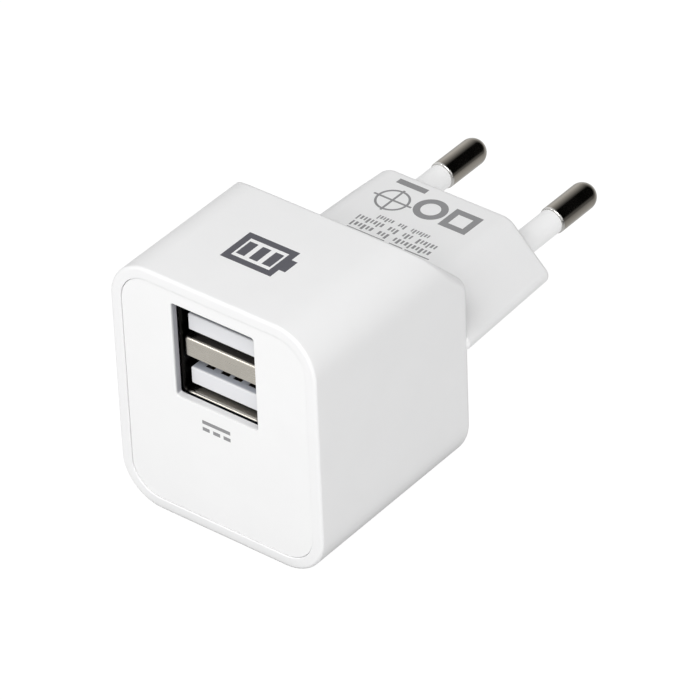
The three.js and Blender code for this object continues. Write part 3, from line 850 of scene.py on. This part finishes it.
def make_shell():
    """The steel can round both sockets; its front edge is rolled outwards."""
    width = PORT_WIDTH + 2 * SHELL_SHEET
    height = PORT_PITCH + PORT_HEIGHT + 2 * SHELL_SHEET
    centre, corner = (0.0, WINDOW_Z), 0.4
    outer = rounded_rectangle(width, height, corner + SHELL_SHEET, centre, arc_steps=8)
    inner = rounded_rectangle(PORT_WIDTH, PORT_PITCH + PORT_HEIGHT, corner, centre, arc_steps=8)
    edge = 0.02
    levels = [(SHELL_FRONT, edge), (SHELL_FRONT + edge, 0.0), (SHELL_REAR, 0.0)]
    shell = loft("socket_can", rings_along_y(outer, levels))
    roll_length, roll_out = 0.6, 0.26
    start, end = SHELL_FRONT - 1, SHELL_REAR + 1
    levels = flared_levels(start, end, SHELL_FRONT, roll_length, roll_out, count=8)
    cut(shell, loft("bore", rings_along_y(inner, levels)))

    tab, skin = 0.8, 0.01  # a tab's half height, and how far inside the sheet its sides lie
    for side in (-1, 1):
        x = sorted((side * (PORT_WIDTH / 2 + skin), side * (width / 2 - skin)))
        for z in (WINDOW_Z - 5, WINDOW_Z + 5):
            low = (x[0], SHELL_REAR - 0.6, z - tab)
            high = (x[1], USB_BOARD_Y + 1.6, z + tab)
            joined(shell, box("tab", low, high))
    finished(shell, can_steel(), "socket_steel", "usb_shell")


def band_outline(half, front, rear, corner):
    """A rectangle from above; corner is the radius of its two front corners."""
    rear_corner = 0.4
    corners = [(half, rear, rear_corner), (-half, rear, rear_corner)]
    corners += [(-half, front, corner), (half, front, corner)]
    return rounded_polygon(corners, arc_steps=10)


def make_divider():
    """The folded band between the sockets, with rounded ends."""
    front, rear, corner = SHELL_FRONT + 0.05, INSULATOR_FRONT - 0.3, 0.6
    low, high = WINDOW_Z - DIVIDER_HEIGHT / 2, WINDOW_Z + DIVIDER_HEIGHT / 2
    low_edge, high_edge = 0.25, 0.42
    outline = band_outline(DIVIDER_WIDTH / 2, front, rear, corner)
    levels = rounded_levels(low, high, low_edge, high_edge)
    band = loft("socket_divider", rings_along_z(outline, levels))
    inner_half, inner_corner = DIVIDER_WIDTH / 2 - SHELL_SHEET, corner - SHELL_SHEET
    inside = band_outline(inner_half, front + SHELL_SHEET, rear + 1, inner_corner)
    levels = [(low + SHELL_SHEET, 0.0), (high - SHELL_SHEET, 0.0)]
    cut(band, loft("room", rings_along_z(inside, levels)))
    finished(band, divider_steel(), "socket_steel", "usb_divider")


def make_tongue(level, row):
    """A contact carrier, with a groove in its top for each contact."""
    top = tongue_top(level)
    centre = (0.0, top - TONGUE_THICKNESS / 2)
    corner, front_edge, rear_edge = 0.25, 0.2, 0.02
    outline = rounded_rectangle(TONGUE_WIDTH, TONGUE_THICKNESS, corner, centre, arc_steps=6)
    rear = INSULATOR_FRONT - 0.1
    levels = rounded_levels(TONGUE_FRONT, rear, front_edge, rear_edge, count=5)
    tongue = loft("tongue_carrier_" + row, rings_along_y(outline, levels))
    cutter, groove_corner = 3.0, 0.12  # the groove's cutter is this high, and stands out of the top
    groove_z = top + cutter / 2 - GROOVE_DEPTH
    levels = [(TONGUE_FRONT + GROOVE_START, 0.0), (rear + 1, 0.0)]
    for x in CONTACT_X:
        centre = (x, groove_z)
        groove = rounded_rectangle(GROOVE_WIDTH, cutter, groove_corner, centre, arc_steps=4)
        cut(tongue, loft("groove", rings_along_y(groove, levels)))
    finished(tongue, tongue_plastic(level, row), "socket_plastic", "tongue_" + row)


def make_contact(level, row, index, x):
    """A sprung strip: it rises from deep in its groove to a hump, then runs to the board."""
    low = tongue_top(level) - CONTACT_SUNK
    front = TONGUE_FRONT + GROOVE_START + 0.5
    rear = USB_BOARD_Y + 1.5
    # Each is a way behind the strip's front, and a height over its root.
    spans = [(0.0, -0.65), (0.7, -0.65), (2.6, 0.5), (3.4, 0.5), (5.2, 0.0)]
    path = []
    for (y0, h0), (y1, h1) in zip(spans, spans[1:]):
        for u in steps(0.0, 1.0, 6)[:-1]:
            path.append((front + y0 + (y1 - y0) * u, low + h0 + (h1 - h0) * eased(u)))
    path += [(front + spans[-1][0], low), (rear, low)]
    centre, corner = (x, CONTACT_SHEET / 2), 0.05
    section = rounded_rectangle(CONTACT_WIDTH, CONTACT_SHEET, corner, centre, arc_steps=2)
    rings = [[(a, y, z + b) for a, b, _, _ in section] for y, z in path]
    strip = loft(f"contact_{row}_{index}", rings)
    finished(strip, MATERIALS["contact_gold"], "contact_gold", f"usb_contact_{row}_{index}")


def make_insulator():
    """The block behind the sockets, with a slot for each contact."""
    gap, corner, edge = 0.3, 0.3, 0.15  # gap is both sides' together
    width = PORT_WIDTH - gap
    height = PORT_PITCH + PORT_HEIGHT - gap
    outline = rounded_rectangle(width, height, corner, (0.0, WINDOW_Z), arc_steps=4)
    levels = rounded_levels(INSULATOR_FRONT, SHELL_REAR, edge, edge, count=3)
    block = loft("socket_insulator", rings_along_y(outline, levels))
    half_slot = CONTACT_WIDTH / 2 + 0.15
    for level in (-1, 1):
        top = tongue_top(level)
        for x in CONTACT_X:
            low = (x - half_slot, INSULATOR_FRONT - 1.8, top - 0.6)
            high = (x + half_slot, SHELL_REAR + 1, top + 0.4)
            cut(block, box("slot", low, high))
    # Black moulding here; it also stands in for the deep shade inside the sockets, as painted
    # shade.
    finished(block, MATERIALS["black_moulding"], "black_moulding", "usb_insulator")


# ---- printed marks ----
# Generic marks stand in for the lettering: a battery, a direct-current sign, a bar, two rings, a
# cross, a square frame, and strokes in rows like lines of small print.

INK_SUNK = 0.02  # how deep a print goes into the plastic
INK_PROUD = 0.012  # how far it stands out of it
INK_STEP = 0.003  # a print that crosses another lies this much inside its thickness
RING_STEPS = 40  # segments of a full turn on a printed ring


def bar(a, b, width, height):
    """A bar's corners round its centre."""
    return [
        (a + s * width / 2, b + t * height / 2) for s, t in ((1, 1), (-1, 1), (-1, -1), (1, -1))
    ]


def plus(a, b, width, height, stroke):
    """A cross's corners round its centre."""
    w, h, s = width / 2, height / 2, stroke / 2
    corners = [(w, -s), (w, s), (s, s), (s, h), (-s, h), (-s, s)]
    corners += [(-p, -q) for p, q in corners]
    return [(a + p, b + q) for p, q in corners]


def circle(a, b, radius):
    turns = [2 * math.pi * i / RING_STEPS for i in range(RING_STEPS)]
    return [(a + radius * math.cos(t), b + radius * math.sin(t)) for t in turns]


def round_frame(a, b, radius, stroke):
    """A ring as its outline and its hole."""
    return circle(a, b, radius + stroke / 2), circle(a, b, radius - stroke / 2)


def square_frame(a, b, width, height, stroke):
    """A rectangular frame as its outline and its hole."""
    return bar(a, b, width, height), bar(a, b, width - 2 * stroke, height - 2 * stroke)


def prints(name, shapes, place, thinner=0.0):
    """Thin closed plates. Each shape is an outline, or an outline with a hole in it.

    place(a, b, height) puts a flat point on the surface, at a height over it. thinner is taken
    off both sides of the plates.
    """
    points, faces = [], []
    for shape in shapes:
        loops = shape if isinstance(shape, tuple) else (shape,)
        count, start = len(loops[0]), len(points)
        top = count * len(loops)
        for height in (thinner - INK_SUNK, INK_PROUD - thinner):
            for loop in loops:
                points += [place(a, b, height) for a, b in loop]
        around = [(start + i, start + (i + 1) % count) for i in range(count)]
        faces += [(i, j, j + top, i + top) for i, j in around]
        if len(loops) == 1:
            faces.append(tuple(start + i for i in reversed(range(count))))
            faces.append(tuple(start + top + i for i in range(count)))
            continue
        for i, j in around:
            faces.append((j + count, i + count, i + count + top, j + count + top))
            faces.append((j, i, i + count, j + count))
            faces.append((i + top, j + top, j + top + count, i + top + count))
    return outward(new_object(name, points, faces))


def inked(piece, material):
    """A mark stands for no CAD node."""
    finished(piece, material, "black_moulding", smooth=False)


def word_row(centre, y, width, height, words):
    """A row of upright strokes in groups, like a line of small print. words are stroke counts."""
    space = 0.75
    pitch = (width - space * (len(words) - 1)) / sum(words)
    thick, thin = 0.62 * pitch, 0.465 * pitch
    short = 0.72 * height
    x = centre - width / 2 + pitch / 2
    shapes = []
    for w, count in enumerate(words):
        for i in range(count):
            tall = height if (i + w) % 3 == 0 else short
            wide = thick if (i + w) % 2 else thin
            shapes.append(bar(x, y + (height - tall) / 2, wide, tall))
            x += pitch
        x += space
    return shapes


def on_top(a, b, height):
    return (a, b, BODY_HEIGHT + height)


def on_panel(a, b, height):
    return (a, PANEL_RECESS - height, b)


def on_plug_block(a, b, height):
    return (a, b, PIN_Z + BLOCK_HALF_HEIGHT * flare(b) + height)


def make_battery():
    x, y = -0.6, 11.1
    shapes = [square_frame(x, y, width=8.2, height=6.2, stroke=1.0)]
    shapes += [bar(x + 2.1 * i, y, width=1.35, height=3.0) for i in (-1, 0, 1)]
    battery = prints("mark_battery", shapes, on_top)
    cap = prints("cap", [bar(x + 4.5, y, width=1.15, height=2.6)], on_top, INK_STEP)
    inked(joined(battery, cap), DARK_INK)


def make_direct_current_sign():
    """A line over three dashes."""
    x, z, width, stroke = -0.25, 17.65, 4.6, 0.55
    dash = width / 4
    shapes = [bar(x, z, width, stroke)]
    shapes += [bar(x + 1.5 * dash * i, z - 2 * stroke, dash, stroke) for i in (-1, 0, 1)]
    inked(prints("mark_direct_current", shapes, on_panel), GREY_INK)


def make_marks_on_plug_block():
    """A row of signs, three lines of small print, and a broken line under them."""
    fine, bold = 0.34, 1.0
    crossed = (-4.9, 43.9)  # the middle of the ring that the cross lies over
    shapes = [bar(-4.75, 48.1, width=4.8, height=1.05), round_frame(*crossed, 2.3, fine)]
    shapes += [round_frame(0.55, 45.1, 1.9, bold), square_frame(5.5, 45.1, 4.4, 4.4, bold)]
    shapes += word_row(0.1, 39.7, 8.6, 0.95, (6, 3, 7))
    shapes += word_row(0.1, 38.2, 13.2, 1.15, (8, 3, 3, 6))
    shapes += word_row(0.2, 36.65, 13.2, 1.15, (6, 3, 10))
    line_y, line_height = 35.65, 0.2
    for middle, width in ((-3.1, 6.2), (1.9, 2.2), (5.4, 4.0)):
        shapes.append(bar(middle, line_y, width, line_height))
    marks = prints("marks_on_plug_block", shapes, on_plug_block)
    shapes = [plus(*crossed, width=6.2, height=5.4, stroke=fine)]
    cross = prints("cross", shapes, on_plug_block, INK_STEP)
    inked(joined(marks, cross), GREY_INK)


# ---- carried-over CAD nodes ----


def dress_cad_nodes():
    """Gives every CAD node that stays its own material, by the record's slots."""
    for entry in frame["record"]["subparts"]:
        node = frame["nodes"][entry["node"]]
        if node.hide_render:
            continue
        material = MATERIALS[entry["material_slot"]]
        if not node.material_slots:
            node.data.materials.append(None)
        for slot in node.material_slots:
            slot.link = "OBJECT"
            slot.material = material


# ---- studio ----

AZIMUTH, ELEVATION, ROLL = 39.216, 36.246, -2.365  # the camera's, in degrees
TARGET = Vector((2.467, -9.899, 16.504)) * MM  # what it looks at, in the row's frame
DISTANCE = 735.2 * MM
LENS, SENSOR = 288.78, 36.0  # focal length and width of the picture, in millimetres
SOFTBOX_DISTANCE = 0.5  # from the body's middle, in metres
FLOOR_REACH = 3.0  # from the middle to each side, in metres


def direction(azimuth, elevation):
    """From the middle towards a viewer at an azimuth from the front and a height, in degrees."""
    a, e = math.radians(azimuth), math.radians(elevation)
    return Vector((math.sin(a) * math.cos(e), -math.cos(a) * math.cos(e), math.sin(e)))


def looking_along(back, roll=0.0):
    """A rotation whose Z axis is back and whose X axis is level, then rolled."""
    right = Vector((-back.y, back.x, 0.0)).normalized()
    upright = Matrix((right, back.cross(right), back)).transposed()
    return (upright @ Matrix.Rotation(math.radians(roll), 3, "Z")).to_4x4()


def add_camera():
    data = bpy.data.cameras.new("camera")
    data.lens = LENS
    data.sensor_width = SENSOR
    data.clip_start = 0.01
    camera = bpy.data.objects.new("camera", data)
    bpy.context.scene.collection.objects.link(camera)
    back = direction(AZIMUTH, ELEVATION)
    camera.matrix_world = Matrix.Translation(TARGET + back * DISTANCE) @ looking_along(back, ROLL)
    bpy.context.scene.camera = camera


def add_softbox(name, azimuth, elevation, size, radiance):
    """A square lamp that faces the body's middle; size is in metres."""
    data = bpy.data.lights.new(name, "AREA")
    data.shape = "SQUARE"
    data.size = size
    data.energy = radiance * math.pi * size * size
    light = bpy.data.objects.new(name, data)
    bpy.context.scene.collection.objects.link(light)
    back = direction(azimuth, elevation)
    middle = Vector((0.0, 0.0, BODY_HEIGHT / 2 * MM))
    place = Matrix.Translation(middle + back * SOFTBOX_DISTANCE)
    light.matrix_world = place @ looking_along(back)


def floor_glow(material, x, y):
    """The light that the plastic gets from the floor: less from close round the body's foot."""
    open_floor, fade = 0.83, 3.8 * MM
    steeper = 2.5  # how much faster it grows in front and behind than beside the body
    beside = calculated(material, "ABSOLUTE", x)
    beside = calculated(material, "SUBTRACT", beside, BODY_WIDTH / 2 * MM)
    ahead = calculated(material, "SUBTRACT", y, depth(BODY_DEPTH / 2))
    ahead = calculated(material, "ABSOLUTE", ahead)
    ahead = calculated(material, "SUBTRACT", ahead, BODY_DEPTH / 2 * MM)
    ahead = calculated(material, "MULTIPLY", ahead, steeper)
    away = calculated(material, "MAXIMUM", beside, ahead)
    return ranged(material, away, 0.0, open_floor, 0.0, fade)


def add_floor():
    """White to the camera; what the metal mirrors of it fades towards a dark flag on the right."""
    corners = bar(0.0, 0.0, 2 * FLOOR_REACH, 2 * FLOOR_REACH)
    floor = new_object("floor", [(x, y, 0.0) for x, y in corners], [(0, 1, 2, 3)])
    material = shader("floor", (0.05, 0.05, 0.05), 0.9, Specular_IOR_Level=0.0)
    nodes, links = material.node_tree.nodes, material.node_tree.links
    principled = nodes["Principled BSDF"]
    principled.inputs["Emission Color"].default_value = (1.0, 1.0, 1.0, 1.0)
    x, y, _ = place_of(material)
    bright, dark = 0.62, 0.12
    mirrored = ranged(material, x, bright, dark, 10 * MM, 85 * MM)
    path = nodes.new("ShaderNodeLightPath")
    strength = mixed(material, path.outputs["Is Glossy Ray"], floor_glow(material, x, y), mirrored)
    strength = mixed(material, path.outputs["Is Camera Ray"], strength, 1.0)
    links.new(strength, principled.inputs["Emission Strength"])
    floor.data.materials.append(material)


def background(world, grey, strength):
    """A grey background shader."""
    made = world.node_tree.nodes.new("ShaderNodeBackground")
    made.inputs["Color"].default_value = (grey, grey, grey, 1.0)
    made.inputs["Strength"].default_value = strength
    return made


def mixed_shaders(world, factor, first, second):
    """First where the factor is 0, second where it is 1."""
    made = world.node_tree.nodes.new("ShaderNodeMixShader")
    for socket, source in zip(made.inputs, (factor, first, second)):
        world.node_tree.links.new(source, socket)
    return made.outputs["Shader"]


def add_world():
    """White behind everything, an even room for the plastic, and a dark flag for the metal."""
    room_light = 0.38
    flag = (0.51, 0.625, 0.591)  # the direction of the flag's middle
    edge, core = 0.25, 0.87  # cosines of the angles where the flag starts and where it is darkest
    bright, dark = 1.1, 0.004

    world = bpy.data.worlds.new("studio")
    world.use_nodes = True
    nodes, links = world.node_tree.nodes, world.node_tree.links
    nodes.clear()
    place = nodes.new("ShaderNodeTexCoord")
    towards = nodes.new("ShaderNodeVectorMath")
    towards.operation = "DOT_PRODUCT"
    towards.inputs[1].default_value = flag
    links.new(place.outputs["Generated"], towards.inputs[0])
    flagged = background(world, 0.8, 1.0)
    fall = ranged(world, towards.outputs["Value"], bright, dark, edge, core)
    links.new(fall, flagged.inputs["Strength"])

    room = background(world, 1.0, room_light)
    backdrop = background(world, 1.0, 1.0)
    path = nodes.new("ShaderNodeLightPath").outputs
    lit = mixed_shaders(world, path["Is Glossy Ray"], room.outputs[0], flagged.outputs[0])
    seen = mixed_shaders(world, path["Is Camera Ray"], lit, backdrop.outputs[0])
    output = nodes.new("ShaderNodeOutputWorld")
    links.new(seen, output.inputs["Surface"])
    bpy.context.scene.world = world


# ---- the scene ----

add_camera()
add_world()
add_floor()
add_softbox("key", azimuth=20.0, elevation=48.0, size=0.4, radiance=3.6)
add_softbox("rim", azimuth=-40.0, elevation=39.0, size=0.1, radiance=4.5)
add_softbox("fill", azimuth=90.0, elevation=30.0, size=0.3, radiance=0.8)
bpy.context.scene.view_settings.view_transform = "Standard"

make_housing()
make_front_panel()
for side, line in ((-1, "neutral"), (1, "live")):
    make_pin(side, line)
    make_sleeve(side, line)
make_shell()
make_divider()
make_insulator()
for level, row in ((1, "upper"), (-1, "lower")):
    make_tongue(level, row)
    for index, x in enumerate(CONTACT_X, 1):
        make_contact(level, row, index, x)
make_battery()
make_direct_current_sign()
make_marks_on_plug_block()
dress_cad_nodes()
